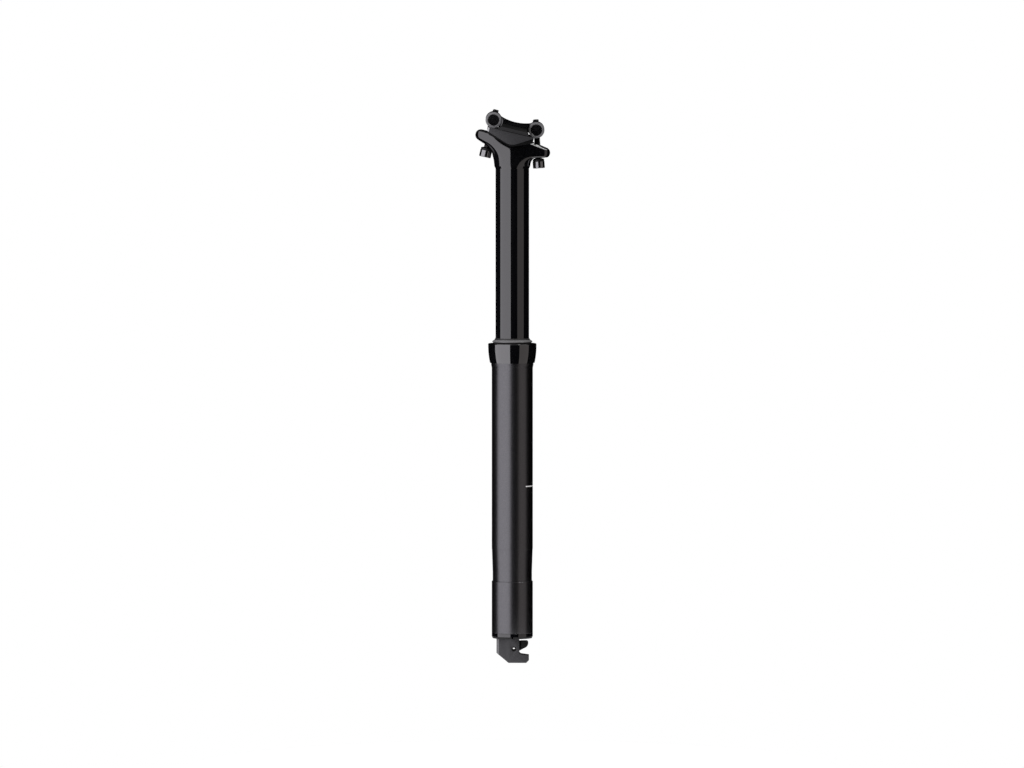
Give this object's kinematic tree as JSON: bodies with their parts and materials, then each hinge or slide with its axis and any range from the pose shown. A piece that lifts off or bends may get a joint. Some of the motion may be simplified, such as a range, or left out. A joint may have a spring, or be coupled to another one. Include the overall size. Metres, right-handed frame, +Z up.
{
  "type": "dropper seatpost",
  "caption": "Telescopic bicycle seatpost that drops on a gas cartridge: lower tube, sliding inner post, two-bolt saddle clamp and a cable lever under its foot.",
  "frame": {"origin": "on the post's axis, where the rim of the seat tube stops under the lower tube's flange", "axes": "+Z up the post towards the saddle, +X towards the front of the bicycle, +Y towards its left side"},
  "size_m": [0.0577, 0.0542, 0.4268],
  "materials": {
    "satin_tube": "satin black anodised",
    "gloss_post": "gloss black hard-anodised",
    "gloss_forging": "gloss black coat",
    "wiper_rubber": "dark grey, soft sheen",
    "bearing_plastic": "matte self-lubricating plastic",
    "bare_alloy": "turned",
    "ground_steel": "ground and polished",
    "black_steel": "black oxide",
    "cradle_alloy": "matte dark grey",
    "bracket_alloy": "matte dark grey",
    "lever_alloy": "matte black",
    "seal_rubber": "matte black",
    "key_brass": "turned"
  },
  "bodies": {
    "lower": {"lower_tube": "satin_tube", "collar": "gloss_forging", "wiper_seal": "wiper_rubber", "upper_bushing": "bearing_plastic", "end_housing": "satin_tube", "end_plug": "gloss_post", "shaft_lock_nut": "ground_steel", "bottom_bumper": "seal_rubber", "cartridge_shaft": "ground_steel", "cartridge_piston": "bare_alloy", "piston_seal": "seal_rubber", "lever_bracket": "bracket_alloy", "pivot_pin": "black_steel"},
    "post": {"inner_post": "gloss_post", "saddle_head": "gloss_forging", "foot_bushing": "bearing_plastic", "guide_keys": "key_brass", "foot_nut": "bare_alloy", "cartridge_body": "bare_alloy", "cartridge_seal_head": "bare_alloy", "shaft_seal": "seal_rubber", "cartridge_cap": "bare_alloy"},
    "gas_piston": {"floating_piston": "bare_alloy", "floating_seal": "seal_rubber"},
    "lever": {"release_lever": "lever_alloy"},
    "rod": {"release_rod": "ground_steel"},
    "saddle_clamp": {"rail_cradle": "cradle_alloy", "upper_clamp": "gloss_forging"},
    "rear_nut": {"rear_barrel_nut": "black_steel"},
    "front_nut": {"front_barrel_nut": "black_steel"},
    "rear_screw": {"rear_bolt": "black_steel", "rear_washer": "black_steel"},
    "front_screw": {"front_bolt": "black_steel", "front_washer": "black_steel"}
  },
  "joints": [
    {"name": "post_travel", "type": "slide", "parent": "lower", "child": "post", "axis": [0, 0, -1], "range_m": [0, 0.125], "stiffness_N_per_m": 300, "springref_m": -0.25},
    {"name": "gas_piston_slide", "type": "slide", "parent": "post", "child": "gas_piston", "axis": [0, 0, 1], "range_m": [0, 0.0336]},
    {"name": "release_rod_lift", "type": "slide", "parent": "lower", "child": "rod", "axis": [0, 0, 1], "range_m": [0, 0.0015], "stiffness_N_per_m": 4000, "springref_m": -0.002},
    {"name": "lever_pull", "type": "hinge", "parent": "lower", "child": "lever", "pos_m": [0.0012, 0, -0.2169], "axis": [0, 1, 0], "range_deg": [0, 22.1]},
    {"name": "saddle_tilt", "type": "hinge", "parent": "post", "child": "saddle_clamp", "pos_m": [0.00414, 0, 0.19596], "axis": [0, 1, 0], "range_deg": [-8, 8]},
    {"name": "rear_nut_turn", "type": "hinge", "parent": "saddle_clamp", "child": "rear_nut", "pos_m": [-0.01438, 0, 0.19109], "axis": [0, 1, 0], "range_deg": [-10.6, 10.6]},
    {"name": "front_nut_turn", "type": "hinge", "parent": "saddle_clamp", "child": "front_nut", "pos_m": [0.01852, 0, 0.18331], "axis": [0, 1, 0], "range_deg": [-11.7, 11.7]},
    {"name": "rear_bolt_swing", "type": "hinge", "parent": "post", "child": "rear_screw", "pos_m": [-0.02134, 0, 0.16163], "axis": [0, 1, 0], "range_deg": [-3, 3]},
    {"name": "front_bolt_swing", "type": "hinge", "parent": "post", "child": "front_screw", "pos_m": [0.02058, 0, 0.15302], "axis": [0, 1, 0], "range_deg": [-4, 4]}
  ],
  "couplings": [
    {"joint": "gas_piston_slide", "follows": "post_travel", "ratio": 0.26754},
    {"joint": "lever_pull", "follows": "release_rod_lift", "rad_per_m": 256.4},
    {"joint": "rear_nut_turn", "follows": "saddle_tilt", "ratio": -1.2974},
    {"joint": "front_nut_turn", "follows": "saddle_tilt", "ratio": -1.4477},
    {"joint": "rear_bolt_swing", "follows": "saddle_tilt", "ratio": -0.2974},
    {"joint": "front_bolt_swing", "follows": "saddle_tilt", "ratio": -0.4477}
  ]
}
